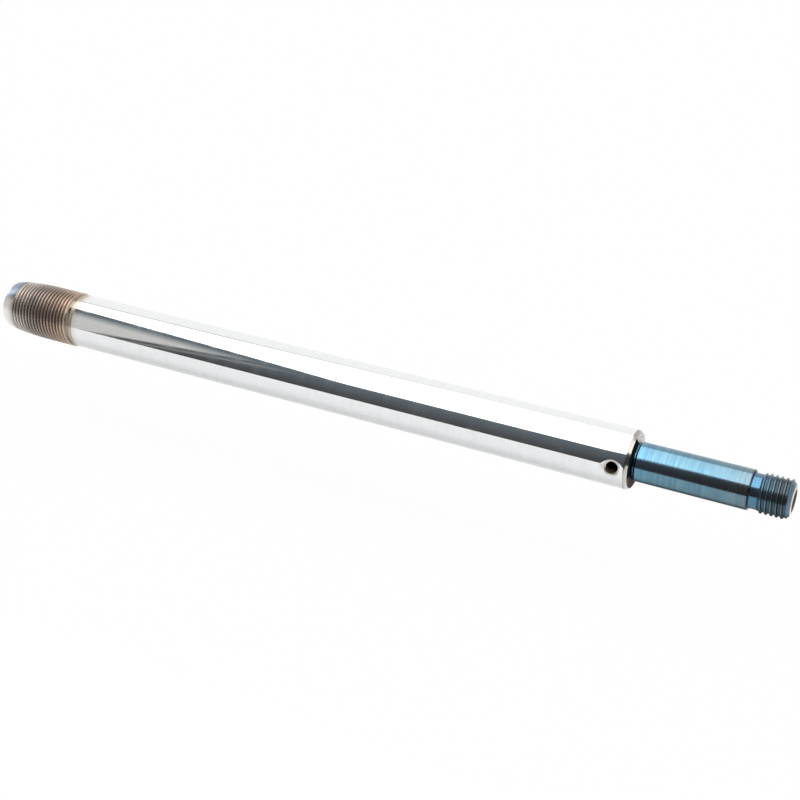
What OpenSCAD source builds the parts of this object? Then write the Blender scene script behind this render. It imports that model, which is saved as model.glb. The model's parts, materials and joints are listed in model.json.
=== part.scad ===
// Chrome piston rod of a hydraulic damper, turned from one bar and bored through.
// The rod lies along X. The origin is the centre of the shoulder face that the piston seats on:
// the chromed rod and the clevis thread run to -X, the piston shank and the tip thread to +X.

/* [Chromed rod] */
// Diameter of the chromed sliding surface
rod_d = 18; // [16:0.1:22]
// Length from the collar of the clevis thread to the shoulder face
rod_len = 198.3; // [120:0.1:320]
// Radial width of the chamfer at the shoulder
shoulder_chamfer_w = 0.7; // [0.2:0.05:1.2]
// Length of the chamfer at the shoulder
shoulder_chamfer_len = 0.9; // [0.2:0.05:2]

/* [Clevis end] */
// Outer diameter of the clevis thread
clevis_thread_d = 18.6; // [17:0.1:24]
// Length of the clevis thread, from the nose to the collar
clevis_thread_len = 22.4; // [12:0.1:40]
// Length of the plain collar behind the clevis thread
collar_len = 0.8; // [0.3:0.1:3]
// Length of the slope from the collar to the rod
collar_slope_len = 0.7; // [0.2:0.1:2]
// Length of the tapered nose in front of the clevis thread
nose_len = 6.5; // [1:0.1:8]
// Diameter of the nose where its end edge begins
nose_d = 15.8; // [12:0.1:16.8]
// Radial width of the nose's end edge
nose_edge_w = 1.3; // [0.2:0.1:2]
// Length of the nose's end edge
nose_edge_len = 0.6; // [0.2:0.1:2]

/* [Piston shank] */
// Diameter of the ground shank that carries the piston
shank_d = 11.9; // [11.2:0.1:14]
// Length from the shoulder face to the end of the shank
shank_len = 34.3; // [15:0.1:60]
// Width of the relief groove at the shoulder
root_groove_w = 0.9; // [0.4:0.1:2]
// Depth of the relief groove at the shoulder
root_groove_depth = 0.3; // [0.1:0.05:0.6]
// Chamfer at the end of the shank
shank_chamfer = 0.35; // [0.1:0.05:0.45]

/* [Tip thread] */
// Outer diameter of the tip thread
tip_thread_d = 11.7; // [11:0.1:14]
// Length of the tip thread, from its relief to its end chamfer
tip_thread_len = 8.1; // [4:0.1:20]
// Diameter of the relief between the shank and the tip thread
tip_relief_d = 10.4; // [9:0.1:10.9]
// Width of that relief
tip_relief_w = 2.3; // [1:0.1:5]
// Radial width of the chamfer at the tip
tip_chamfer_w = 1.6; // [0.2:0.05:1.6]
// Length of the chamfer at the tip
tip_chamfer_len = 1.3; // [0.3:0.05:2]

/* [Bore and port] */
// Diameter of the bore that runs through the rod
bore_d = 5.8; // [3:0.1:6.4]
// Chamfer at both mouths of the bore
bore_chamfer = 0.4; // [0.1:0.05:0.6]
// Diameter of the cross port
port_d = 3.7; // [1:0.1:5]
// Radial width of the countersink around the port
port_sink_w = 1; // [0.3:0.05:1.5]
// Depth of the countersink below the crown of the rod
port_sink_depth = 0.4; // [0.3:0.05:2]
// Distance from the shoulder face back to the port's axis
port_from_shoulder = 4.7; // [3.5:0.1:60]

/* [Hidden] */
$fn = 96;

// How far a cut runs past the face that it opens
cut_over = 1;

// Radii of the turned steps
rod_r = rod_d / 2;
clevis_thread_r = clevis_thread_d / 2;
nose_r = nose_d / 2;
shank_r = shank_d / 2;
root_groove_r = shank_r - root_groove_depth;
tip_thread_r = tip_thread_d / 2;
tip_relief_r = tip_relief_d / 2;
tip_end_r = tip_thread_r - tip_chamfer_w;
bore_r = bore_d / 2;
port_r = port_d / 2;

// Stations along the axis, counted back from the shoulder to the nose
x_rod = -rod_len;
x_collar = x_rod - collar_slope_len;
x_clevis_thread = x_collar - collar_len - clevis_thread_len;
x_nose_edge = x_clevis_thread - nose_len;
x_nose = x_nose_edge - nose_edge_len;

// Stations along the axis, counted on from the shoulder to the tip
x_relief = shank_len;
x_tip_thread = x_relief + tip_relief_w;
x_tip_chamfer = x_tip_thread + tip_thread_len;
x_tip = x_tip_chamfer + tip_chamfer_len;

// Half section of the bar, as radius and station, from the nose to the tip
half_section = [
    [0, x_nose],
    [nose_r - nose_edge_w, x_nose],
    [nose_r, x_nose_edge],
    [clevis_thread_r, x_clevis_thread],
    [clevis_thread_r, x_collar],
    [rod_r, x_rod],
    [rod_r, -shoulder_chamfer_len],
    [rod_r - shoulder_chamfer_w, 0],
    [root_groove_r, 0],
    [root_groove_r, root_groove_w],
    [shank_r, root_groove_w + root_groove_depth],
    [shank_r, x_relief - shank_chamfer],
    [shank_r - shank_chamfer, x_relief],
    [tip_relief_r, x_relief],
    [tip_relief_r, x_tip_thread],
    [tip_thread_r, x_tip_thread + tip_thread_r - tip_relief_r],
    [tip_thread_r, x_tip_chamfer],
    [tip_end_r, x_tip],
    [0, x_tip]
];

// The bar as it leaves the lathe, along X
module turned_bar() {
    rotate([0, 90, 0])
        rotate_extrude()
            polygon(half_section);
}

// A bore mouth: a cone that widens towards the end face at its wide end
module bore_mouth() {
    cylinder(h = bore_chamfer, r1 = bore_r, r2 = bore_r + bore_chamfer);
    translate([0, 0, bore_chamfer])
        cylinder(h = cut_over, r = bore_r + bore_chamfer);
}

// The bore from end to end, with a chamfer at both mouths
module through_bore() {
    translate([x_nose - cut_over, 0, 0])
        rotate([0, 90, 0])
            cylinder(h = x_tip - x_nose + 2 * cut_over, r = bore_r);
    translate([x_tip - bore_chamfer, 0, 0])
        rotate([0, 90, 0])
            bore_mouth();
    translate([x_nose + bore_chamfer, 0, 0])
        rotate([0, -90, 0])
            bore_mouth();
}

// The cross port from the front of the rod into the bore, with its countersink
module cross_port() {
    translate([-port_from_shoulder, 0, 0])
        rotate([90, 0, 0]) {
            cylinder(h = rod_r + cut_over, r = port_r);
            translate([0, 0, rod_r - port_sink_depth])
                cylinder(h = port_sink_depth, r1 = port_r, r2 = port_r + port_sink_w);
            translate([0, 0, rod_r])
                cylinder(h = cut_over, r = port_r + port_sink_w);
        }
}

module piston_rod() {
    color("gainsboro")
        difference() {
            turned_bar();
            through_bore();
            cross_port();
        }
}

piston_rod();
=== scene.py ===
"""Looks of a chrome piston rod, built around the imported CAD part.

The rod is one turned and bored bar, so one welded skin stands for it. The skin is made of sheets: plain
turned stretches, two helical threads, and a countersunk cross port that runs from the chromed surface into
the bore. Lengths are in millimetres and angles in degrees, unless a name says otherwise.
"""

import json
import math

import bmesh
import bpy
import numpy as np
from mathutils import Matrix, Vector


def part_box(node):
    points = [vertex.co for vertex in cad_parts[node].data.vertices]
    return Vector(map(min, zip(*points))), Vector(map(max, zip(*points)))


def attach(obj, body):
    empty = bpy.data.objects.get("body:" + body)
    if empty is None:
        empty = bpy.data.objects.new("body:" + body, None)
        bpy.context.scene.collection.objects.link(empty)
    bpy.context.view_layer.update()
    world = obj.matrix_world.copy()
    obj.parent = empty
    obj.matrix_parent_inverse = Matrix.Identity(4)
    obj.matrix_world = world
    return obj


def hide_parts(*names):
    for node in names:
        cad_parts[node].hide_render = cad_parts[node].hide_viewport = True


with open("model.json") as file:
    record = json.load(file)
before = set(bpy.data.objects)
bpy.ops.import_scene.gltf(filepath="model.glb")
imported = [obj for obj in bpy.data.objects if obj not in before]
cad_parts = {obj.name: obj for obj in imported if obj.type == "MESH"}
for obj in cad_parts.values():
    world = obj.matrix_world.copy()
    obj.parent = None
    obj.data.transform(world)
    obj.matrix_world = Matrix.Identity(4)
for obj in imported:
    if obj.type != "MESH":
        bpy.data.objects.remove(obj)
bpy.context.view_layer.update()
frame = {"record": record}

MM = 0.001
NODE = "piston_rod"
BODY = "root"

# Radii and ends of the bar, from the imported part
low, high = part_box(NODE)
mount_radius = {m["name"]: m["dims"]["r_mm"] for m in frame["record"]["mounts"]}
X_NOSE = low.x / MM
X_TIP = high.x / MM
CLEVIS_R = mount_radius["clevis_thread"]
ROD_R = mount_radius["rod_surface"]
SHANK_R = mount_radius["piston_seat"]
TIP_R = mount_radius["tip_thread"]
BORE_R = mount_radius["through_bore"]

# The other sizes of the turned bar, as in its source; X = 0 is the shoulder face
NOSE_LEN = 6.5
NOSE_R = 7.9
NOSE_EDGE_W = 1.3
NOSE_EDGE_LEN = 0.6
ROD_LEN = 198.3
COLLAR_SLOPE_LEN = 0.7
COLLAR_LEN = 0.8
SHOULDER_CHAMFER_W = 0.7
SHOULDER_CHAMFER_LEN = 0.9
ROOT_GROOVE_W = 0.9
ROOT_GROOVE_DEPTH = 0.3
SHANK_LEN = 34.3
SHANK_CHAMFER = 0.35
RELIEF_R = 5.2
RELIEF_W = 2.3
TIP_CHAMFER_W = 1.6
TIP_CHAMFER_LEN = 1.3
BORE_CHAMFER = 0.4
PORT_X = -4.7
PORT_R = 1.85
SINK_W = 1.0
SINK_DEPTH = 0.4

# Stations that follow from those sizes
X_NOSE_EDGE = X_NOSE + NOSE_EDGE_LEN
X_CONE_END = X_NOSE_EDGE + NOSE_LEN
X_ROD = -ROD_LEN
X_COLLAR_END = X_ROD - COLLAR_SLOPE_LEN
X_COLLAR = X_COLLAR_END - COLLAR_LEN
X_TIP_THREAD = SHANK_LEN + RELIEF_W
X_TIP_CHAMFER = X_TIP - TIP_CHAMFER_LEN

# The two right-hand threads: pitch, depth, and where a crest passes the front of the rod
CLEVIS_PITCH = 1.35
CLEVIS_DEPTH = 0.58
CLEVIS_CREST_AT = -223.05
CLEVIS_START = 1.75     # how far down the nose's cone the first groove begins
CLEVIS_LEAD = 0.6       # length over which the first groove deepens
KNEE = 3.1              # how far along the nose's cone the worn crests begin...
CREST_WEAR_LEN = 13.6   # ...and the length over which they come up to the full radius
RUN_OUT_FROM = 1.25     # the thread falls into its run-out groove this far in front of the collar...
RUN_OUT_SLOPE = 0.3     # ...over this length, down to its root
COLLAR_RISE = 0.35      # length of the rise from the run-out groove to the collar's band
TIP_PITCH = 1.5
TIP_DEPTH = 0.5
TIP_CREST_AT = 37.53
# The form of a tooth: half a crest's width and a flank's width, as shares of the pitch
CLEVIS_TOOTH = (0.10, 0.24)
TIP_TOOTH = (0.12, 0.17)

# What follows from them
X_THREAD = X_CONE_END - CLEVIS_START
X_KNEE = X_NOSE_EDGE + KNEE
KNEE_R = NOSE_R + (CLEVIS_R - NOSE_R) * KNEE / NOSE_LEN
X_RUN_OUT = X_COLLAR - RUN_OUT_FROM
RUN_OUT_R = CLEVIS_R - CLEVIS_DEPTH

# How finely the skin is divided
COLUMNS = 160           # around the bar
FLANK_ROWS = 4          # down each flank of a thread
EASE_STEPS = 5          # along each eased corner
HOLD = 0.08             # a ring this close to each end of a long straight line keeps its shading straight
LONG = 8 * HOLD         # lines longer than this have such rings
PORT_COLUMNS = 28       # columns of the rod's surface that the port's patch takes up
PORT_ROWS = 28
PORT_HALF_LEN = 3.6     # half the patch's length along the rod
PORT_RINGS = 22         # rings from the patch's edge to the port
PORT_WALL_ROWS = 4
BORE_COLUMNS = 40       # columns of the bore that the patch inside it takes up
BORE_ROWS = PORT_COLUMNS + PORT_ROWS - BORE_COLUMNS
BORE_HALF_LEN = 2.6
BORE_RINGS = 4
LIP_FROM = 16           # the ring at which the lip's dulled finish begins
LIP_ROUND = 0.35        # how far the countersink's polished lip is rounded
WELD = 0.002            # points closer than this are one point
SHARP_ANGLE = 30        # edges that turn by more than this are drawn as corners

# Narrow bands with a finish of their own, and bands of painted shade
SHADED_GROOVE = 0.42      # the part of the root groove's floor next to the shoulder, painted nearly black as shade
UNSHADED_GROOVE = 0.28     # the part of it beside that, left in its own blue
CHROME_FROM = 0.1       # where the chrome begins, beyond the collar
STRAW_EDGE = 0.4        # a straw-coloured line along the shoulder's chamfer
WORN_TIP = 0.2          # the bright worn edge of the tip's chamfer

# Edges that a finishing cloth leaves slightly round
FINE_EASE = 0.12
NOSE_EASE = 0.45

TURN_STEP = 2 * math.pi / COLUMNS
FULL_TURN = np.linspace(-math.pi, math.pi, COLUMNS + 1)

FINISHES = ["nose", "clevis_thread", "run_out", "collar", "chrome", "port_lip", "straw_edge", "chamfer",
            "face", "groove_floor", "dark_edge", "shank", "relief", "tip_thread", "end_face", "bore"]


def around(x, r, turn):
    """Points of a turned surface at station x and radius r. The angle starts at -Y and goes towards -Z."""
    return np.stack(np.broadcast_arrays(x, -r * np.cos(turn), -r * np.sin(turn)), axis=-1)


def smooth_step(t):
    """Rises from 0 to 1 between t = 0 and t = 1 with level ends: 3 t squared less 2 t cubed."""
    t = np.clip(t, 0, 1)
    return t * t * (3 - 2 * t)


def smooth_minimum(a, b, width):
    """The lower of two heights, with the corner between them rounded where they differ by less than width."""
    near = np.clip(width - np.abs(a - b), 0, None) / width
    return np.minimum(a, b) - near * near * width / 4


def turned_sheet(corners):
    """A turned stretch: a profile of corners, carried round the axis.

    A corner is its station, its radius, its ease and the finish of what follows it. Straight lines join the
    corners. A corner with an ease e becomes a parabola that leaves one line and meets the next at the
    distance e from the corner. Long lines get a ring close to each end.
    """
    place = np.array([corner[:2] for corner in corners], float)
    stretches = []
    finishes = []
    for i, (_, _, ease, finish) in enumerate(corners):
        stretch = place[i:i + 1]
        if ease:
            back, on = place[i - 1] - place[i], place[i + 1] - place[i]
            t = np.linspace(0, 1, EASE_STEPS + 1)[:, None]
            leave = place[i] + ease * back / np.hypot(*back)
            meet = place[i] + ease * on / np.hypot(*on)
            stretch = (1 - t) ** 2 * leave + 2 * t * (1 - t) * place[i] + t ** 2 * meet
        if i:
            last = stretches[-1][-1]
            line = stretch[0] - last
            length = np.hypot(*line)
            if length > LONG:
                stretches.append(last + line * np.array([[HOLD], [length - HOLD]]) / length)
                finishes += [corners[i - 1][3]] * 2
        stretches.append(stretch)
        finishes += [finish] * len(stretch)
    profile = np.concatenate(stretches)
    return around(profile[:, :1], profile[:, 1:], FULL_TURN), finishes[:-1]


def thread_sheet(start, end, pitch, tooth, crest_at, radius, finish):
    """A right-hand thread, made of rows that follow its helix.

    A row is a line of one phase: it advances one pitch in each turn about +X and is cut off at both ends of
    the thread. A tooth form of the phase says how far a row lies down the groove, from 0 on the flat crest
    by a smooth flank to 1 in the flat root; tooth gives their shares, and radius(x, groove) the radius.
    """
    first = math.floor((start - crest_at) / pitch - 0.5)
    last = math.ceil((end - crest_at) / pitch + 0.5)
    half = np.concatenate([[0], tooth[0] + tooth[1] * np.linspace(0, 1, FLANK_ROWS + 1), [0.5]])
    places = np.concatenate([half, 1 - half[-2:0:-1]])
    phase = np.append((np.arange(first, last)[:, None] + places).ravel(), last)
    x = np.clip(crest_at + pitch * (phase[:, None] + FULL_TURN / (2 * math.pi)), start, end)
    groove = smooth_step((np.abs(phase - np.round(phase)) - tooth[0]) / tooth[1])[:, None]
    return around(x, radius(x, groove), FULL_TURN), [finish] * (len(phase) - 1)


def clevis_crest(x):
    """The nose's cone as far as its knee, and from there the clevis thread's crests: wear has left the first
    ones low, and they come up to the full radius by a parabola with a level end."""
    cone = np.interp(x, [X_NOSE_EDGE, X_KNEE], [NOSE_R, KNEE_R])
    short = np.clip((X_KNEE + CREST_WEAR_LEN - x) / CREST_WEAR_LEN, 0, 1)
    return cone + (CLEVIS_R - KNEE_R) * (1 - short ** 2)


def clevis_radius(x, groove):
    """The clevis thread: its groove deepens on the cone, and all of it falls into the run-out groove."""
    deep = CLEVIS_DEPTH * smooth_step((x - X_THREAD) / CLEVIS_LEAD)
    fall = np.interp(x, [X_RUN_OUT, X_RUN_OUT + RUN_OUT_SLOPE], [CLEVIS_R, RUN_OUT_R])
    return np.minimum(fall, clevis_crest(x) - deep * groove)


def tip_radius(x, groove):
    """The tip thread, cut into a blank with a 45 degree rise from the relief and a chamfered end."""
    stations = [X_TIP_THREAD, X_TIP_THREAD + TIP_R - RELIEF_R, X_TIP_CHAMFER, X_TIP]
    blank = np.interp(x, stations, [RELIEF_R, TIP_R, TIP_R, TIP_R - TIP_CHAMFER_W])
    return np.minimum(blank, TIP_R - TIP_DEPTH * groove)


def rectangle(half_len, rows, half_turn, columns):
    """Points along the edge of a patch, once round it: offsets along the axis and angles about it."""
    up = np.linspace(-1, 1, columns + 1)[:-1]
    back = np.linspace(1, -1, rows + 1)[:-1]
    along = np.concatenate([np.ones(columns), back, -np.ones(columns), -back])
    turn = np.concatenate([up, np.ones(rows), -up, -np.ones(rows)])
    return along * half_len, turn * half_turn


def closed(points):
    """Rings of points with the first point of each ring repeated at its end."""
    return np.concatenate([points, points[:, :1]], axis=1)


def port_sheets():
    """The cross port: its lip and countersink, its wall, and the patch where it opens into the bore.

    Spokes run from a rectangle on the rod to the port's edge. At each point the surface lies at the lower of
    two heights along -Y, the rod's circle and the countersink's cone, joined by a smooth minimum so that the
    lip is round. The wall goes straight down to the bore's circle, and more spokes join it to a rectangle
    of the bore.
    """
    along, turn = rectangle(PORT_HALF_LEN, PORT_ROWS, PORT_COLUMNS / 2 * TURN_STEP, PORT_COLUMNS)
    across = ROD_R * np.sin(turn)
    spoke = np.arctan2(across, along)
    edge_along, edge_across = PORT_R * np.cos(spoke), PORT_R * np.sin(spoke)

    t = np.linspace(0, 1, PORT_RINGS + 1)[:, None]
    lip_along = (1 - t) * along + t * edge_along
    lip_across = (1 - t) * across + t * edge_across
    from_axis = np.hypot(lip_along, lip_across)
    sink_floor = ROD_R - SINK_DEPTH
    cone = sink_floor + (from_axis - PORT_R) * SINK_DEPTH / SINK_W
    height = smooth_minimum(np.sqrt(ROD_R ** 2 - lip_across ** 2), cone, LIP_ROUND)
    lip = np.stack([PORT_X + lip_along, -height, -lip_across], axis=-1)

    t = np.linspace(0, 1, PORT_WALL_ROWS + 1)[:, None]
    bore_height = np.sqrt(BORE_R ** 2 - edge_across ** 2)
    height = sink_floor + t * (bore_height - sink_floor)
    wall = np.stack(np.broadcast_arrays(PORT_X + edge_along, -height, -edge_across), axis=-1)

    bore_along, bore_turn = rectangle(BORE_HALF_LEN, BORE_ROWS, BORE_COLUMNS / 2 * TURN_STEP, BORE_COLUMNS)
    shift = (PORT_COLUMNS - BORE_COLUMNS) // 2
    bore_along, bore_turn = np.roll(bore_along, shift), np.roll(bore_turn, shift)
    t = np.linspace(0, 1, BORE_RINGS + 1)[:, None]
    inside_along = (1 - t) * edge_along + t * bore_along
    inside_turn = (1 - t) * np.arcsin(edge_across / BORE_R) + t * bore_turn
    inside = around(PORT_X + inside_along, BORE_R, inside_turn)

    return [(closed(lip), ["chrome"] * LIP_FROM + ["port_lip"] * (PORT_RINGS - LIP_FROM)),
            (closed(wall), ["bore"] * PORT_WALL_ROWS),
            (closed(inside), ["bore"] * BORE_RINGS)]


def rest_of_ring(half_len, rows, columns, r, finish):
    """The stretch of a tube beside a patch: every column of the ring that the patch leaves."""
    x = PORT_X + half_len * np.linspace(-1, 1, rows + 1)[:, None]
    turn = TURN_STEP * (columns / 2 + np.arange(COLUMNS - columns + 1))
    return around(x, r, turn), [finish] * rows


def rod_sheets():
    """All sheets of the bar, from the nose along the outside to the tip and back through the bore."""
    shoulder_r = ROD_R - SHOULDER_CHAMFER_W
    groove_r = SHANK_R - ROOT_GROOVE_DEPTH
    mouth_r = BORE_R + BORE_CHAMFER
    worn_from = X_TIP - WORN_TIP
    nose = turned_sheet([
        (X_NOSE + BORE_CHAMFER, BORE_R, 0, "bore"),
        (X_NOSE, mouth_r, 0, "end_face"),
        (X_NOSE, NOSE_R - NOSE_EDGE_W, FINE_EASE, "nose"),
        (X_NOSE_EDGE, NOSE_R, NOSE_EASE, "nose"),
        (X_KNEE, KNEE_R, NOSE_EASE, "nose"),
        (X_THREAD, clevis_crest(X_THREAD), 0, ""),
    ])
    clevis = thread_sheet(X_THREAD, X_RUN_OUT + RUN_OUT_SLOPE, CLEVIS_PITCH, CLEVIS_TOOTH, CLEVIS_CREST_AT,
                          clevis_radius, "clevis_thread")
    rod = turned_sheet([
        (X_RUN_OUT + RUN_OUT_SLOPE, RUN_OUT_R, 0, "run_out"),
        (X_COLLAR - COLLAR_RISE / 2, RUN_OUT_R, 0, "collar"),
        (X_COLLAR + COLLAR_RISE / 2, ROD_R, FINE_EASE, "collar"),
        (X_ROD + CHROME_FROM, ROD_R, 0, "chrome"),
        (PORT_X - PORT_HALF_LEN, ROD_R, 0, ""),
    ])
    shank = turned_sheet([
        (PORT_X + PORT_HALF_LEN, ROD_R, 0, "chrome"),
        (-SHOULDER_CHAMFER_LEN - STRAW_EDGE, ROD_R, 0, "straw_edge"),
        (-SHOULDER_CHAMFER_LEN, ROD_R, FINE_EASE, "chamfer"),
        (0, shoulder_r, FINE_EASE, "face"),
        # Painted shade: the groove's walls and the shoulder's side of its floor are drawn nearly black
        (0, groove_r, 0, "dark_edge"),
        (SHADED_GROOVE, groove_r, 0, "groove_floor"),
        (SHADED_GROOVE + UNSHADED_GROOVE, groove_r, 0, "dark_edge"),
        (ROOT_GROOVE_W, groove_r, 0, "dark_edge"),
        (ROOT_GROOVE_W + ROOT_GROOVE_DEPTH, SHANK_R, FINE_EASE, "shank"),
        # Painted shade: the shank's end chamfer and its step are drawn nearly black
        (SHANK_LEN - SHANK_CHAMFER, SHANK_R, FINE_EASE, "dark_edge"),
        (SHANK_LEN, SHANK_R - SHANK_CHAMFER, 0, "dark_edge"),
        (SHANK_LEN, RELIEF_R, 0, "relief"),
        (X_TIP_THREAD, RELIEF_R, 0, ""),
    ])
    tip = thread_sheet(X_TIP_THREAD, worn_from, TIP_PITCH, TIP_TOOTH, TIP_CREST_AT, tip_radius, "tip_thread")
    end = turned_sheet([
        (worn_from, tip_radius(worn_from, 0), 0, "end_face"),
        (X_TIP, TIP_R - TIP_CHAMFER_W, FINE_EASE, "end_face"),
        (X_TIP, mouth_r, 0, "bore"),
        (X_TIP - BORE_CHAMFER, BORE_R, 0, "bore"),
        (PORT_X + BORE_HALF_LEN, BORE_R, 0, ""),
    ])
    bore = turned_sheet([
        (PORT_X - BORE_HALF_LEN, BORE_R, 0, "bore"),
        (X_NOSE + BORE_CHAMFER, BORE_R, 0, ""),
    ])
    beside_port = rest_of_ring(PORT_HALF_LEN, PORT_ROWS, PORT_COLUMNS, ROD_R, "chrome")
    beside_bore = rest_of_ring(BORE_HALF_LEN, BORE_ROWS, BORE_COLUMNS, BORE_R, "bore")
    return [nose, clevis, rod, beside_port, shank, tip, end, beside_bore, bore] + port_sheets()


def weld_skin(name, sheets, materials, sharp_angle):
    """One closed mesh from sheets: each grid of points becomes quads, and points that meet are made one."""
    points, quads, skins = [], [], []
    count = 0
    for grid, finishes in sheets:
        rows, columns = grid.shape[:2]
        index = count + np.arange(rows * columns).reshape(rows, columns)
        corners = [index[:-1, :-1], index[1:, :-1], index[1:, 1:], index[:-1, 1:]]
        quads.append(np.stack(corners, axis=-1).reshape(-1, 4))
        skins.append(np.repeat([FINISHES.index(f) for f in finishes], columns - 1))
        points.append(grid.reshape(-1, 3))
        count += rows * columns
    mesh = bpy.data.meshes.new(name)
    mesh.from_pydata(np.concatenate(points) * MM, [], np.concatenate(quads))
    mesh.polygons.foreach_set("material_index", np.concatenate(skins).astype(np.int32))
    for finish in FINISHES:
        mesh.materials.append(materials[finish])
    work = bmesh.new()
    work.from_mesh(mesh)
    bmesh.ops.remove_doubles(work, verts=work.verts, dist=WELD * MM)
    bmesh.ops.recalc_face_normals(work, faces=work.faces)
    work.to_mesh(mesh)
    work.free()
    mesh.polygons.foreach_set("use_smooth", np.ones(len(mesh.polygons), bool))
    mesh.set_sharp_from_angle(angle=math.radians(sharp_angle))
    piece = bpy.data.objects.new(name, mesh)
    bpy.context.scene.collection.objects.link(piece)
    return piece


def colour(text):
    """A linear RGBA colour from an sRGB hex value."""
    srgb = np.array([int(text[i:i + 2], 16) for i in (1, 3, 5)]) / 255
    linear = np.where(srgb <= 0.04045, srgb / 12.92, ((srgb + 0.055) / 1.055) ** 2.4)
    return (*linear.tolist(), 1.0)


def add(tree, kind, inputs=None, stops=None, **settings):
    """Adds a node. Settings are its own properties, stops are a ramp's places and colours, and inputs gives
    its sockets, by name or number, a value or a link from another node."""
    node = tree.nodes.new(kind)
    for name, value in settings.items():
        setattr(node, name, value)
    for i, (place, shade) in enumerate(stops or []):
        points = node.color_ramp.elements
        point = points[i] if i < 2 else points.new(place)
        point.position, point.color = place, shade
    for key, value in (inputs or {}).items():
        named = [socket for socket in node.inputs if socket.enabled and socket.name == key]
        socket = named[0] if named else node.inputs[key]
        if isinstance(value, bpy.types.Node):
            value = [out for out in value.outputs if out.enabled][0]
        if isinstance(value, bpy.types.NodeSocket):
            tree.links.new(value, socket)
        else:
            socket.default_value = value
    return node


def new_metal(name, roughness, metallic=1.0):
    """An opaque metal with a plain roughness: its material, node tree, shader and Object coordinates."""
    material = bpy.data.materials.new(name)
    material.use_nodes = True
    tree = material.node_tree
    tree.nodes.clear()
    shader = add(tree, "ShaderNodeBsdfPrincipled", {"Metallic": metallic, "Roughness": roughness})
    add(tree, "ShaderNodeOutputMaterial", {"Surface": shader}, name="output")
    place = add(tree, "ShaderNodeTexCoord").outputs["Object"]
    return material, tree, shader, place


def add_film(tree, shader, shade, share):
    """A matt film of oxide, oil, or grease and dust, or of painted shade, over a share of a metal: it hides
    part of what the metal reflects, and lifts its darkest reflections."""
    matt = add(tree, "ShaderNodeBsdfDiffuse", {"Color": shade})
    both = add(tree, "ShaderNodeMixShader", {"Fac": share, 1: shader, 2: matt})
    tree.links.new(both.outputs[0], tree.nodes["output"].inputs["Surface"])


def paint_shade_below(tree, shader, shade, share):
    """Painted shade over a share of a metal: a black that dims its colour and its grazing reflections alike.
    """
    black = colour("#0C1014")
    dim = add(tree, "ShaderNodeMix", {"Factor": share, "A": shade, "B": black}, data_type="RGBA")
    tree.links.new(dim.outputs[2], shader.inputs["Base Color"])
    edge = add(tree, "ShaderNodeMix", {"Factor": share, "A": colour("#FFFFFF"), "B": black}, data_type="RGBA")
    tree.links.new(edge.outputs[2], shader.inputs["Specular Tint"])


def per_mm(along, across):
    """Mapping scale for a pattern that repeats every `along` mm on the axis and `across` mm round it."""
    return (1 / (along * MM), 1 / (across * MM), 1 / (across * MM))


def hex_stops(pairs):
    """Stops of a ramp from places and sRGB hex colours."""
    return [(place, colour(text)) for place, text in pairs]


# Marks of heat and wear, darker patches, and painted shade. Heights are along +Z from the rod's axis, and
# directions lie across it.
STRAW_REACH = 2.4           # a straw tint on the chrome fades out this far from the collar...
STRAW_SHARE = 0.6           # ...from this share
SCUFF_REACH = (1.6, 0.5)    # a scuff beside the port comes up between these distances from its middle...
SCUFF_SHARE = 0.85          # ...to this share
GRIND_SHARE = 0.4           # share of the grinding rings in the blued steel's colour
BROWN_SHARE = 0.10          # share of it that brown oxide covers
UNDERSHADE = (-3.0, -4.2)    # heights between which painted shade darkens the blued underside...
UNDERSHADE_SHARE = 0.55          # ...by this share
THREAD_UNDERSHADE = (-0.3, -0.8)  # the heights for a thread, as shares of its crests' radius
TIP_UNDERSHADE_SHARE = 0.7       # and the share for the tip's thread
PATCH_FRONT = (0.5, 0.95)     # a thread's patches darken it more between these shares towards the upper front
UPPER_FRONT = (0, -0.71, 0.71)
NOSE_BLUE = (4.2, 5.6)      # heights between which the nose's blue tint comes up
SHOULDER_PAINTED_SHADE = (-6, 4)    # heights between which the painted shade of the shoulder's end changes
FACE_SHADE_TO = 4.5              # painted shade covers the shoulder's face this far towards the upper back...
FACE_SHADE_SOFT = 0.25           # ...with an edge that is soft by this much
UPPER_BACK = (0, 0.63, 0.77)


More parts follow.
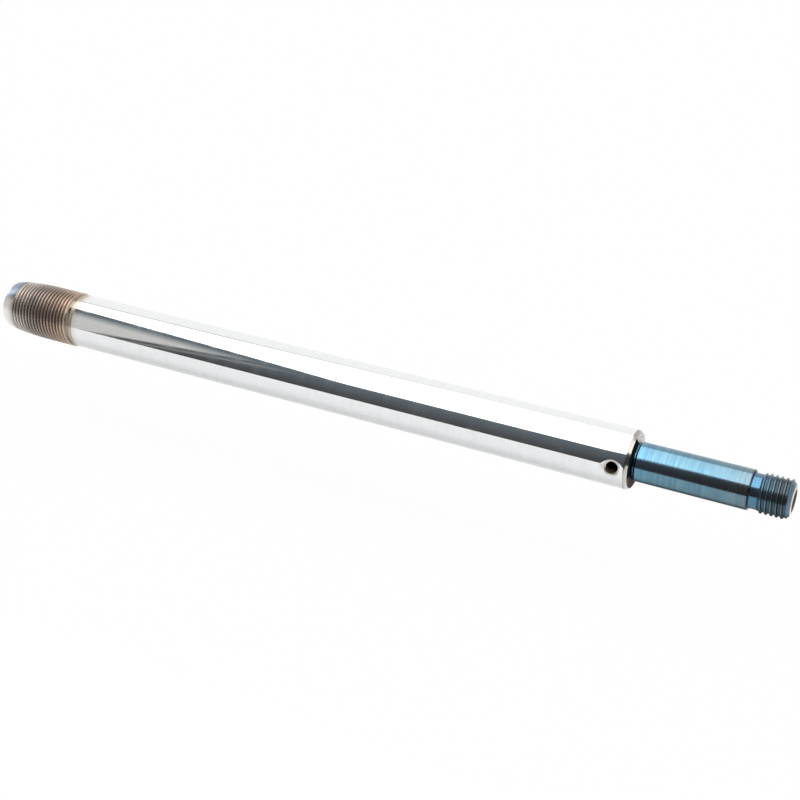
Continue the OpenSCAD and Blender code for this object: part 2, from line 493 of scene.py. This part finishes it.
def polished_chrome():
    """Hard chrome plate, ground and polished: a neutral mirror, with faint polishing rings and handling
    smudges that only soften what it reflects. Next to the collar it has a straw tint, and beside the port
    a grey scuff."""
    material, tree, shader, place = new_metal("hard_chrome_polished", 0.05)
    # Polishing rings are about 0.05 mm apart; they are drawn at 0.8 mm so that they show
    rings = add(tree, "ShaderNodeMapping", {"Vector": place, "Scale": per_mm(0.8, 25)})
    noise = add(tree, "ShaderNodeTexNoise", {"Vector": rings, "Scale": 1.0, "Detail": 3.0})
    shade = add(tree, "ShaderNodeValToRGB", {"Fac": noise},
                stops=hex_stops([(0.3, "#EDEFF0"), (0.7, "#F3F4F5")]))
    axis = add(tree, "ShaderNodeSeparateXYZ", {"Vector": place})
    near = add(tree, "ShaderNodeMapRange", {"Value": axis.outputs["X"],
                                            "From Min": (X_ROD + STRAW_REACH) * MM,
                                            "From Max": X_ROD * MM, "To Max": STRAW_SHARE})
    tinted = add(tree, "ShaderNodeMix", {"Factor": near, "A": shade, "B": colour("#D4C9B1")},
                 data_type="RGBA")
    tree.links.new(tinted.outputs[2], shader.inputs["Base Color"])
    # Smudges a few millimetres across
    patches = add(tree, "ShaderNodeMapping", {"Vector": place, "Scale": per_mm(5, 4)})
    smudge = add(tree, "ShaderNodeTexNoise", {"Vector": patches, "Scale": 1.0, "Detail": 4.0})
    rough = add(tree, "ShaderNodeMapRange", {"Value": smudge, "From Min": 0.45, "From Max": 0.75,
                                             "To Min": 0.035, "To Max": 0.10})
    tree.links.new(rough.outputs[0], shader.inputs["Roughness"])
    haze = add(tree, "ShaderNodeMapRange", {"Value": smudge, "From Min": 0.5, "From Max": 0.75,
                                            "To Max": 0.06})
    scuff_at = Vector((PORT_X - PORT_R - SINK_W / 2, -ROD_R, 0)) * MM
    reach = add(tree, "ShaderNodeVectorMath", {0: place, 1: scuff_at}, operation="DISTANCE")
    scuff = add(tree, "ShaderNodeMapRange", {"Value": reach.outputs["Value"], "From Min": SCUFF_REACH[0] * MM,
                                             "From Max": SCUFF_REACH[1] * MM, "To Max": SCUFF_SHARE})
    # Scratches of the scuff, about a third of a millimetre across
    fine = add(tree, "ShaderNodeMapping", {"Vector": place, "Scale": per_mm(0.3, 0.5)})
    scratch = add(tree, "ShaderNodeTexNoise", {"Vector": fine, "Scale": 1.0, "Detail": 3.0})
    film = add(tree, "ShaderNodeMath", {0: scuff, 1: scratch, 2: haze}, operation="MULTIPLY_ADD")
    add_film(tree, shader, colour("#B0ACA6"), film)
    return material


def ringed_steel(name, light, dark, roughness, along, across, metallic=1.0):
    """Turned, ground or drilled steel: two near shades in tool rings along the axis."""
    material, tree, shader, place = new_metal(name, roughness, metallic)
    # Tool rings are about 0.1 mm apart; they are drawn as coarse as each band of steel needs to show them
    rings = add(tree, "ShaderNodeMapping", {"Vector": place, "Scale": per_mm(along, across)})
    noise = add(tree, "ShaderNodeTexNoise", {"Vector": rings, "Scale": 1.0, "Detail": 3.0})
    shade = add(tree, "ShaderNodeValToRGB", {"Fac": noise}, stops=hex_stops([(0.35, dark), (0.65, light)]))
    tree.links.new(shade.outputs[0], shader.inputs["Base Color"])
    return material


def blued_steel(name, x_from, x_to, drift, light, dark, roughness):
    """Ground steel, blued by heat: a thin oxide whose colour drifts along the bar, crossed by grinding rings
    that are paler and bluer by turns. A little brown oxide dulls its darkest reflections, and its underside
    is darkened by painted shade."""
    material, tree, shader, place = new_metal(name, roughness)
    axis = add(tree, "ShaderNodeSeparateXYZ", {"Vector": place})
    along = add(tree, "ShaderNodeMapRange", {"Value": axis.outputs["X"], "From Min": x_from * MM,
                                             "From Max": x_to * MM})
    base = add(tree, "ShaderNodeValToRGB", {"Fac": along}, stops=hex_stops(drift))
    # Grinding rings are under 0.1 mm wide; they are drawn at 0.7 mm so that they show
    rings = add(tree, "ShaderNodeMapping", {"Vector": place, "Scale": per_mm(0.7, 12)})
    noise = add(tree, "ShaderNodeTexNoise", {"Vector": rings, "Scale": 1.0, "Detail": 5.0, "Roughness": 0.65})
    tint = add(tree, "ShaderNodeValToRGB", {"Fac": noise}, stops=hex_stops([(0.35, dark), (0.65, light)]))
    mixed = add(tree, "ShaderNodeMix", {"Factor": GRIND_SHARE, "A": base, "B": tint}, data_type="RGBA")
    # Painted shade on the underside
    below = add(tree, "ShaderNodeMapRange", {"Value": axis.outputs["Z"], "From Min": UNDERSHADE[0] * MM,
                                             "From Max": UNDERSHADE[1] * MM, "To Max": UNDERSHADE_SHARE})
    paint_shade_below(tree, shader, mixed.outputs[2], below)
    add_film(tree, shader, colour("#6B4A3A"), BROWN_SHARE)
    return material


def thread_steel(name, ends, crest_r, pitch, tooth, crest_at, crests, roots, roughness, oxide, oxide_share,
                 undershade_share=0.0):
    """Cut thread, tinted by heat: the colours of its worn crests and of its stained grooves drift from end to
    end of the thread and go over into each other down the flanks of its helix. Patches darken both, most on
    the front's upper side, and painted shade darkens the underside by a share of its own. A little matt oxide
    keeps the grooves from going black."""
    material, tree, shader, place = new_metal(name, roughness)
    axis = add(tree, "ShaderNodeSeparateXYZ", {"Vector": place})
    along = add(tree, "ShaderNodeMapRange", {"Value": axis.outputs["X"], "From Min": ends[0] * MM,
                                             "From Max": ends[1] * MM})
    crest = add(tree, "ShaderNodeValToRGB", {"Fac": along}, stops=hex_stops(crests))
    root = add(tree, "ShaderNodeValToRGB", {"Fac": along}, stops=hex_stops(roots))
    # The helix: turns along the axis, less the turn round it, gives the place between one crest and the next
    turn = add(tree, "ShaderNodeMath", {0: axis.outputs["Z"], 1: axis.outputs["Y"]}, operation="ARCTAN2")
    turns = add(tree, "ShaderNodeMath",
                {0: axis.outputs["X"], 1: 1 / (pitch * MM), 2: 0.5 - crest_at / pitch},
                operation="MULTIPLY_ADD")
    phase = add(tree, "ShaderNodeMath", {0: turn, 1: -1 / (2 * math.pi), 2: turns}, operation="MULTIPLY_ADD")
    from_crest = add(tree, "ShaderNodeMath", {0: phase, 1: 0.5}, operation="PINGPONG")
    height = add(tree, "ShaderNodeMapRange", {"Value": from_crest, "From Min": sum(tooth),
                                              "From Max": tooth[0]})
    shade = add(tree, "ShaderNodeMix", {"Factor": height, "A": root, "B": crest}, data_type="RGBA")
    # Darker patches some 5 mm across
    patches = add(tree, "ShaderNodeMapping", {"Vector": place, "Scale": per_mm(5, 7)})
    noise = add(tree, "ShaderNodeTexNoise", {"Vector": patches, "Scale": 1.0, "Detail": 3.0})
    facing = add(tree, "ShaderNodeVectorMath", {0: place, 1: UPPER_FRONT}, operation="DOT_PRODUCT")
    upper = add(tree, "ShaderNodeMapRange", {"Value": facing.outputs["Value"],
                                             "From Min": PATCH_FRONT[0] * crest_r * MM,
                                             "From Max": PATCH_FRONT[1] * crest_r * MM,
                                             "To Min": -0.2, "To Max": 0.2})
    dark_patches = add(tree, "ShaderNodeMath", {0: noise, 1: upper}, operation="ADD")
    film = add(tree, "ShaderNodeValToRGB", {"Fac": dark_patches},
               stops=hex_stops([(0.35, "#FFFFFF"), (0.75, "#CDC6C4")]))
    mixed = add(tree, "ShaderNodeMix", {"Factor": 1.0, "A": shade, "B": film}, data_type="RGBA",
                blend_type="MULTIPLY")
    tree.links.new(mixed.outputs[2], shader.inputs["Base Color"])
    # Painted shade on the thread's underside
    if undershade_share:
        below = add(tree, "ShaderNodeMapRange", {"Value": axis.outputs["Z"],
                                                 "From Min": THREAD_UNDERSHADE[0] * crest_r * MM,
                                                 "From Max": THREAD_UNDERSHADE[1] * crest_r * MM,
                                                 "To Max": undershade_share})
        paint_shade_below(tree, shader, mixed.outputs[2], below)
    add_film(tree, shader, colour(oxide), oxide_share)
    return material


def ground_nose(name, pale, blue, roughness):
    """Ground nose: bright steel that dulls towards the thread, with a blue heat tint on its upper side."""
    material, tree, shader, place = new_metal(name, roughness)
    axis = add(tree, "ShaderNodeSeparateXYZ", {"Vector": place})
    along = add(tree, "ShaderNodeMapRange", {"Value": axis.outputs["X"], "From Min": X_NOSE * MM,
                                             "From Max": X_THREAD * MM})
    dull = add(tree, "ShaderNodeValToRGB", {"Fac": along},
               stops=hex_stops([(0.4, "#FFFFFF"), (0.7, "#F4F1ED"), (0.97, "#C2BEB9")]))
    high = add(tree, "ShaderNodeMapRange", {"Value": axis.outputs["Z"], "From Min": NOSE_BLUE[0] * MM,
                                            "From Max": NOSE_BLUE[1] * MM})
    inward = add(tree, "ShaderNodeMapRange", {"Value": along, "From Min": 0.1, "From Max": 0.35})
    share = add(tree, "ShaderNodeMath", {0: high, 1: inward}, operation="MULTIPLY")
    # The tint is patchy, a few millimetres across
    patches = add(tree, "ShaderNodeMapping", {"Vector": place, "Scale": per_mm(2.5, 4)})
    noise = add(tree, "ShaderNodeTexNoise", {"Vector": patches, "Scale": 1.0, "Detail": 3.0})
    tint = add(tree, "ShaderNodeValToRGB", {"Fac": noise},
               stops=hex_stops([(0.35, blue[0]), (0.65, blue[1])]))
    shade = add(tree, "ShaderNodeMix", {"Factor": share, "A": colour(pale), "B": tint}, data_type="RGBA")
    mixed = add(tree, "ShaderNodeMix", {"Factor": 1.0, "A": shade, "B": dull}, data_type="RGBA",
                blend_type="MULTIPLY")
    tree.links.new(mixed.outputs[2], shader.inputs["Base Color"])
    return material


def shoulder_painted_shade(tree, place, upper, lower):
    """The turned end of the shoulder: fine rings round the shank, and a painted shade that goes over from one
    at its upper side to another at its lower side. Gives this colour, and the height as a share of the
    change."""
    axis = add(tree, "ShaderNodeSeparateXYZ", {"Vector": place})
    height = add(tree, "ShaderNodeMapRange", {"Value": axis.outputs["Z"], "From Min": SHOULDER_PAINTED_SHADE[0] * MM,
                                              "From Max": SHOULDER_PAINTED_SHADE[1] * MM})
    across = add(tree, "ShaderNodeVectorMath", {0: place, 1: (0, 1, 1)}, operation="MULTIPLY")
    reach = add(tree, "ShaderNodeVectorMath", {0: across}, operation="LENGTH")
    # Tool rings are about 0.1 mm apart; they are drawn at 0.5 mm so that they show
    rings = add(tree, "ShaderNodeTexNoise",
                {"W": reach.outputs["Value"], "Scale": 1 / (0.5 * MM), "Detail": 2.0}, noise_dimensions="1D")
    shade = add(tree, "ShaderNodeValToRGB", {"Fac": height}, stops=hex_stops([(0.0, lower), (1.0, upper)]))
    wear = add(tree, "ShaderNodeValToRGB", {"Fac": rings},
               stops=hex_stops([(0.3, "#D8D8D8"), (0.7, "#FFFFFF")]))
    mixed = add(tree, "ShaderNodeMix", {"Factor": 1.0, "A": shade, "B": wear}, data_type="RGBA",
                blend_type="MULTIPLY")
    return mixed.outputs[2], height


def turned_chamfer(name, upper, lower, roughness):
    """Turned chamfer of the shoulder: bright steel with tool rings, with painted shade that greys its upper
    side.
    """
    material, tree, shader, place = new_metal(name, roughness)
    shade, _ = shoulder_painted_shade(tree, place, upper, lower)
    tree.links.new(shade, shader.inputs["Base Color"])
    return material


def face_with_painted_shade(name, upper, lower, roughness, metallic):
    """Turned face of the shoulder: dull steel with tool rings, which scatters more light than it mirrors.
    Painted shade, a matt film that is black on its front and brown on its lower side, covers it as far as
    FACE_SHADE_TO towards the upper back."""
    material, tree, shader, place = new_metal(name, roughness, metallic)
    # What isn't metal in it shines little too
    shader.inputs["Specular IOR Level"].default_value = metallic
    shade, height = shoulder_painted_shade(tree, place, upper, lower)
    tree.links.new(shade, shader.inputs["Base Color"])
    facing = add(tree, "ShaderNodeVectorMath", {0: place, 1: UPPER_BACK}, operation="DOT_PRODUCT")
    in_shade = add(tree, "ShaderNodeMapRange", {"Value": facing.outputs["Value"],
                                               "From Min": (FACE_SHADE_TO + FACE_SHADE_SOFT) * MM,
                                               "From Max": (FACE_SHADE_TO - FACE_SHADE_SOFT) * MM})
    # Painted shade: brown low on the face, black higher up
    face_shade = add(tree, "ShaderNodeValToRGB", {"Fac": height},
                stops=hex_stops([(0.26, "#655C58"), (0.34, "#141D22")]))
    add_film(tree, shader, face_shade, in_shade)
    return material


materials = {
    "nose": ground_nose("steel_ground_heat_tinted", "#F0EEEB", ("#909DB5", "#989AA3"), 0.3),
    "clevis_thread": thread_steel(
        "steel_cut_thread_browned", (X_THREAD, X_COLLAR), CLEVIS_R, CLEVIS_PITCH, CLEVIS_TOOTH,
        CLEVIS_CREST_AT,
        [(0.0, "#E4DFD8"), (0.12, "#DED8D0"), (0.3, "#AEA59F"), (0.45, "#B0A49C"), (0.62, "#BAA798"),
         (0.8, "#CCB6A2"), (0.93, "#DCCAB8")],
        [(0.0, "#A8A29A"), (0.12, "#98918A"), (0.3, "#665B56"), (0.45, "#685B55"), (0.62, "#716157"),
         (0.8, "#887464"), (0.93, "#AC9A86")],
        0.25, "#8A8078", 0.2),
    # A brown line where the thread ends, its own browning darkened by painted shade of the last crest,
    # and the straw-coloured band of the collar beside it
    "run_out": ringed_steel("steel_turned_run_out", "#A0948A", "#8A7E74", 0.1, 0.5, 6),
    "collar": ringed_steel("steel_turned_straw_tinted", "#BEB5A6", "#AEA596", 0.25, 0.5, 6),
    "chrome": polished_chrome(),
    # A dull grey rim round the port
    "port_lip": ringed_steel("hard_chrome_dulled_lip", "#DEDCD8", "#C6C3BC", 0.25, 0.8, 0.8),
    # A thin tan line where the chrome ends
    "straw_edge": ringed_steel("steel_straw_tinted_edge", "#A89C88", "#988C78", 0.3, 0.5, 3),
    # Painted shade on the shoulder: a greyer upper side on the chamfer, a dark front and lower side on the
    # face
    "chamfer": turned_chamfer("steel_turned_chamfer", "#B8B2AA", "#FFFCF8", 0.15),
    "face": face_with_painted_shade("steel_turned_shoulder", "#DCD9D6", "#4A423E", 0.45, 0.35),
    # A blue line on the root groove's floor, between edges that are painted nearly black as shade
    "groove_floor": ringed_steel("steel_blued_groove", "#6C9CB6", "#54839F", 0.15, 0.3, 8),
    "dark_edge": ringed_steel("steel_blued_dark_edge", "#34424F", "#262F39", 0.25, 0.3, 4),
    "shank": blued_steel("steel_ground_blued", 0, SHANK_LEN,
                         [(0.0, "#5C98B8"), (0.2, "#6894A8"), (0.45, "#668E9F"), (0.6, "#668C9E"),
                          (0.85, "#708C98"), (1.0, "#7B8585")],
                         "#86AEB8", "#4A7A9A", 0.15),
    "relief": blued_steel("steel_relief_blued", SHANK_LEN, X_TIP_THREAD,
                          [(0.0, "#5A8AA4"), (1.0, "#5A86A4")], "#6C9CB2", "#467090", 0.15),
    "tip_thread": thread_steel(
        "steel_cut_thread_blued", (X_TIP_THREAD, X_TIP), TIP_R, TIP_PITCH, TIP_TOOTH, TIP_CREST_AT,
        [(0.0, "#66889C"), (0.5, "#6A848E"), (0.75, "#6C767A"), (0.86, "#567C90"), (1.0, "#848C94")],
        [(0.0, "#3E6076"), (0.4, "#44606C"), (0.75, "#465258"), (0.86, "#42687E"), (1.0, "#848C94")],
        0.25, "#5E6062", 0.14, TIP_UNDERSHADE_SHARE),
    # Bright bare ends, and a dark brown bore that hardly shines
    "end_face": ringed_steel("steel_turned_end_face", "#E2E0DC", "#D6D3CE", 0.3, 3, 3),
    "bore": ringed_steel("steel_drilled_bore_oily", "#554733", "#382E21", 0.5, 1.0, 3, 0.0),
}

rod = weld_skin("piston_rod_finished", rod_sheets(), materials, SHARP_ANGLE)
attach(rod, BODY)
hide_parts(NODE)

# Camera, worked out from the photograph: its place, the point it looks at, its roll and its lens. It draws
# what lies between two distances.
CAMERA_PLACE = (89.36, -364.94, 168.63)
CAMERA_AIM = (-77.12, 0.0, 0.26)
CAMERA_ROLL = -4.2
LENS = 62.44
SENSOR = 36.0
CLIP_FROM = 10.0
CLIP_TO = 20000.0


def set_camera():
    """A camera that looks from its place to its aim, rolled about that line from the upright."""
    place, aim = Vector(CAMERA_PLACE) * MM, Vector(CAMERA_AIM) * MM
    ahead = (aim - place).normalized()
    side = ahead.cross(Vector((0, 0, 1))).normalized()
    up = side.cross(ahead)
    roll = math.radians(CAMERA_ROLL)
    top = math.cos(roll) * up + math.sin(roll) * side
    right = ahead.cross(top)
    lens = bpy.data.cameras.new("camera")
    lens.lens, lens.sensor_width = LENS, SENSOR
    lens.clip_start, lens.clip_end = CLIP_FROM * MM, CLIP_TO * MM
    camera = bpy.data.objects.new("camera", lens)
    camera.matrix_world = Matrix.Translation(place) @ Matrix((right, top, -ahead)).transposed().to_4x4()
    bpy.context.scene.collection.objects.link(camera)
    bpy.context.scene.camera = camera


# The studio round the rod. Angles go about the rod's axis: 0 is level in front, 90 overhead and 180 level
# behind. Leans are the part of a direction along the axis, from -1 at the nose's end to 1 at the tip's.
SOFTBOX = 2.3              # strength of the overhead softbox at its back
FRONT_BOX = 2.85           # and towards its front
BOX_LEAN = (-0.42, -0.60)  # between these leans...
BOX_FRONT = (36.5, 72.0)   # ...the softbox's front edge goes from the first angle to the second
BACK_LEAN = (-0.34, -0.50)  # and between these...
BOX_BACK = (121.5, 108.0)  # ...its back edge does
TIP_LEAN = (-0.24, -0.19)  # between these leans, towards the tip...
TIP_RISE = 8.5             # ...the front edge rises by this
END_LEAN = (0.3, 0.8)      # and between these leans beyond the tip...
END_RISE = 10.0            # ...it rises by this again
EDGE_SOFT = 1.5            # half the width of a soft edge
ROOM_ANGLES = (-20.0, 40.0)  # the room goes from dark to pale between these
ROOM_DARK = "#4B4B4C"      # the dark room in front, near the floor
ROOM_PALE = "#646E75"      # and under the softbox
PANEL = "#CDCCC9"          # a grey wall panel at the nose's end
PANEL_TOP = 40.0           # its lower edge is an arc that starts at this angle...
PANEL_LEAN = -0.453        # ...and this lean,
PANEL_FALL = 918.0         # and falls by this times a power of the lean beyond
PANEL_POWER = 1.35
PANEL_FADE = (-36.0, -10.0)  # it fades out over these angles from the softbox's edge
STREAK_DROP = 13.0         # a thin pale streak this far under the panel's edge
STREAK_HALF = 4.0          # half its width
STREAK_LEAN = (-0.45, -0.48)  # it begins between these leans
STREAK_SHARE = 0.25        # its share of the panel's grey
FRAME_LEAN = (-0.28, -0.50)  # its frame is a line along its back edge, which comes up between these leans
FRAME_SHARE = 0.3          # how much darker it is than the softbox
FRAME_AT = 3.5             # its middle lies this far behind the edge...
FRAME_HALF = 3.5           # ...and it reaches this far to either side
# Softbox and backdrop: their strengths, at shares of the way between two angles from the softbox's back edge
BACK_ANGLES = (-80.0, 60.0)
BACK_STOPS = [(0.0, FRONT_BOX), (0.557, SOFTBOX), (0.58, 1.0)]
WHITE_FROM = (7.0, 12.0)   # this far behind that edge the metal begins to see the camera's white
RIGHT_LEAN = (-0.28, -0.15)  # between these leans towards the tip's end...
RIGHT_ROOM = 0.6           # ...the room comes down to this share of its brightness


def set_world():
    """A soft studio: white to the camera, and to the metal an overhead softbox, a backdrop of the same white
    behind it, a dark room in front and a grey panel at the left, each a band of the angle about the axis."""
    world = bpy.data.worlds.new("studio")
    bpy.context.scene.world = world
    world.use_nodes = True
    tree = world.node_tree
    tree.nodes.clear()
    way = add(tree, "ShaderNodeSeparateXYZ", {"Vector": add(tree, "ShaderNodeTexCoord").outputs["Generated"]})
    lean = way.outputs["X"]
    front = add(tree, "ShaderNodeMath", {0: way.outputs["Y"], 1: -1.0}, operation="MULTIPLY")
    turn = add(tree, "ShaderNodeMath", {0: way.outputs["Z"], 1: front}, operation="ARCTAN2")
    turn = add(tree, "ShaderNodeMath", {0: turn}, operation="DEGREES")
    angle = add(tree, "ShaderNodeMath", {0: turn, 1: 270.0, 2: -90.0}, operation="WRAP")

    # The dark room, darker towards the tip's end
    height = add(tree, "ShaderNodeMapRange", {"Value": angle, "From Min": ROOM_ANGLES[0],
                                              "From Max": ROOM_ANGLES[1]})
    room = add(tree, "ShaderNodeValToRGB", {"Fac": height},
               stops=hex_stops([(0.15, ROOM_DARK), (0.9, ROOM_PALE)]))
    dim = add(tree, "ShaderNodeMapRange", {"Value": lean, "From Min": RIGHT_LEAN[0],
                                           "From Max": RIGHT_LEAN[1], "To Min": 1.0, "To Max": RIGHT_ROOM})
    room = add(tree, "ShaderNodeVectorMath", {0: room, "Scale": dim}, operation="SCALE")

    # The softbox's front edge, and how far a direction lies above it
    edge = add(tree, "ShaderNodeMapRange", {"Value": lean, "From Min": BOX_LEAN[0], "From Max": BOX_LEAN[1],
                                            "To Min": BOX_FRONT[0], "To Max": BOX_FRONT[1]})
    rise = add(tree, "ShaderNodeMapRange", {"Value": lean, "From Min": TIP_LEAN[0], "From Max": TIP_LEAN[1],
                                            "To Max": TIP_RISE})
    edge = add(tree, "ShaderNodeMath", {0: edge, 1: rise}, operation="ADD")
    rise = add(tree, "ShaderNodeMapRange", {"Value": lean, "From Min": END_LEAN[0], "From Max": END_LEAN[1],
                                            "To Max": END_RISE})
    edge = add(tree, "ShaderNodeMath", {0: edge, 1: rise}, operation="ADD")
    above = add(tree, "ShaderNodeMath", {0: angle, 1: edge}, operation="SUBTRACT")
    in_box = add(tree, "ShaderNodeMapRange", {"Value": above, "From Min": -EDGE_SOFT, "From Max": EDGE_SOFT})

    # The grey panel, its fading top and the streak under its curved edge
    beyond = add(tree, "ShaderNodeMath", {0: PANEL_LEAN, 1: lean}, operation="SUBTRACT")
    beyond = add(tree, "ShaderNodeMath", {0: beyond, 1: 0.0}, operation="MAXIMUM")
    beyond = add(tree, "ShaderNodeMath", {0: beyond, 1: PANEL_POWER}, operation="POWER")
    panel_edge = add(tree, "ShaderNodeMath", {0: beyond, 1: -PANEL_FALL, 2: PANEL_TOP},
                     operation="MULTIPLY_ADD")
    over = add(tree, "ShaderNodeMath", {0: angle, 1: panel_edge}, operation="SUBTRACT")
    in_panel = add(tree, "ShaderNodeMapRange", {"Value": over, "From Min": -2 * EDGE_SOFT,
                                                "From Max": 2 * EDGE_SOFT})
    fade = add(tree, "ShaderNodeMapRange", {"Value": above, "From Min": PANEL_FADE[0],
                                            "From Max": PANEL_FADE[1]})
    panel = add(tree, "ShaderNodeMix", {"Factor": fade, "A": colour(PANEL), "B": room}, data_type="RGBA")
    streak = add(tree, "ShaderNodeMath", {0: over, 1: -STREAK_DROP, 2: STREAK_HALF}, operation="COMPARE")
    share = add(tree, "ShaderNodeMapRange", {"Value": lean, "From Min": STREAK_LEAN[0],
                                             "From Max": STREAK_LEAN[1], "To Max": STREAK_SHARE})
    streak = add(tree, "ShaderNodeMath", {0: streak, 1: share}, operation="MULTIPLY")
    room = add(tree, "ShaderNodeMix", {"Factor": streak, "A": room, "B": colour(PANEL)}, data_type="RGBA")
    low = add(tree, "ShaderNodeMix", {"Factor": in_panel, "A": room, "B": panel}, data_type="RGBA")

    # The softbox, its frame's line and the backdrop behind it
    back = add(tree, "ShaderNodeMapRange", {"Value": lean, "From Min": BACK_LEAN[0], "From Max": BACK_LEAN[1],
                                            "To Min": BOX_BACK[0], "To Max": BOX_BACK[1]})
    behind = add(tree, "ShaderNodeMath", {0: angle, 1: back}, operation="SUBTRACT")
    place = add(tree, "ShaderNodeMapRange", {"Value": behind, "From Min": BACK_ANGLES[0],
                                             "From Max": BACK_ANGLES[1]})
    high = add(tree, "ShaderNodeValToRGB", {"Fac": place},
               stops=[(at, (value, value, value, 1.0)) for at, value in BACK_STOPS])
    line = add(tree, "ShaderNodeMath", {0: behind, 1: FRAME_AT, 2: FRAME_HALF}, operation="COMPARE")
    strength = add(tree, "ShaderNodeMapRange", {"Value": lean, "From Min": FRAME_LEAN[0],
                                                "From Max": FRAME_LEAN[1], "To Max": -FRAME_SHARE})
    line = add(tree, "ShaderNodeMath", {0: line, 1: strength, 2: 1.0}, operation="MULTIPLY_ADD")
    high = add(tree, "ShaderNodeVectorMath", {0: high, "Scale": line}, operation="SCALE")

    sky = add(tree, "ShaderNodeMix", {"Factor": in_box, "A": low, "B": high}, data_type="RGBA")
    studio = add(tree, "ShaderNodeBackground", {"Color": sky, "Strength": 1.0})
    white = add(tree, "ShaderNodeBackground", {"Color": (1, 1, 1, 1), "Strength": 1.0})
    ray = add(tree, "ShaderNodeLightPath")
    mirrored = add(tree, "ShaderNodeMath",
                   {0: ray.outputs["Is Glossy Ray"], 1: ray.outputs["Is Transmission Ray"]}, operation="ADD")
    on_backdrop = add(tree, "ShaderNodeMapRange", {"Value": behind, "From Min": WHITE_FROM[0],
                                                   "From Max": WHITE_FROM[1]})
    mirrored = add(tree, "ShaderNodeMath", {0: mirrored, 1: on_backdrop}, operation="MULTIPLY")
    seen = add(tree, "ShaderNodeMath", {0: ray.outputs["Is Camera Ray"], 1: mirrored}, operation="MAXIMUM")
    both = add(tree, "ShaderNodeMixShader", {"Fac": seen, 1: studio, 2: white})
    add(tree, "ShaderNodeOutputWorld", {"Surface": both})


FLOOR_DROP = 35.0          # the floor lies this far below the rod's axis
FLOOR_FRONT = 118.0        # and ends this far in front of it, where the dark room begins
FLOOR_REACH = 4000.0       # and reaches this far to the back and the sides
FLOOR_WHITE = 0.96         # how white the floor is to the camera, the rest being its shaded paper...
FLOOR_MIRROR_WHITE = 0.15  # ...and to the metal, which shows more of the shadow
PAPER_GRAIN = 2.0          # its fibres are far finer; they are drawn this coarse so that they show


def sheet(name, x, y, z, material):
    """A flat rectangle between two stations and two depths, at one height."""
    mesh = bpy.data.meshes.new(name)
    corners = np.array([(x[0], y[0], z), (x[1], y[0], z), (x[1], y[1], z), (x[0], y[1], z)]) * MM
    mesh.from_pydata(corners, [], [(0, 1, 2, 3)])
    mesh.materials.append(material)
    piece = bpy.data.objects.new(name, mesh)
    bpy.context.scene.collection.objects.link(piece)


def paper(name, light, dark, white_share, mirror_share):
    """Matt paper: two near shades of fine grain, mixed with plain white by one share where the camera sees it
    and by another where metal mirrors it, so that it keeps the rod's shadow."""
    material = bpy.data.materials.new(name)
    material.use_nodes = True
    tree = material.node_tree
    tree.nodes.clear()
    place = add(tree, "ShaderNodeTexCoord").outputs["Object"]
    grain = add(tree, "ShaderNodeTexNoise", {"Vector": place, "Scale": 1 / (PAPER_GRAIN * MM), "Detail": 2.0})
    shade = add(tree, "ShaderNodeValToRGB", {"Fac": grain}, stops=hex_stops([(0.3, dark), (0.7, light)]))
    matt = add(tree, "ShaderNodeBsdfDiffuse", {"Color": shade})
    white = add(tree, "ShaderNodeEmission", {"Color": (1, 1, 1, 1), "Strength": 1.0})
    ray = add(tree, "ShaderNodeLightPath")
    mirrored = add(tree, "ShaderNodeMath",
                   {0: ray.outputs["Is Glossy Ray"], 1: ray.outputs["Is Transmission Ray"]}, operation="ADD")
    mirrored = add(tree, "ShaderNodeMath", {0: mirrored, 1: mirror_share}, operation="MULTIPLY")
    share = add(tree, "ShaderNodeMath", {0: ray.outputs["Is Camera Ray"], 1: white_share, 2: mirrored},
                operation="MULTIPLY_ADD")
    both = add(tree, "ShaderNodeMixShader", {"Fac": share, 1: matt, 2: white})
    add(tree, "ShaderNodeOutputMaterial", {"Surface": both})
    return material


def set_floor():
    """The white floor below the rod."""
    white_paper = paper("paper_white_matt", "#C8C8C8", "#C3C3C3", FLOOR_WHITE, FLOOR_MIRROR_WHITE)
    sheet("floor", (-FLOOR_REACH, FLOOR_REACH), (-FLOOR_FRONT, FLOOR_REACH), -FLOOR_DROP, white_paper)


set_camera()
set_world()
set_floor()
bpy.context.scene.view_settings.view_transform = "Standard"
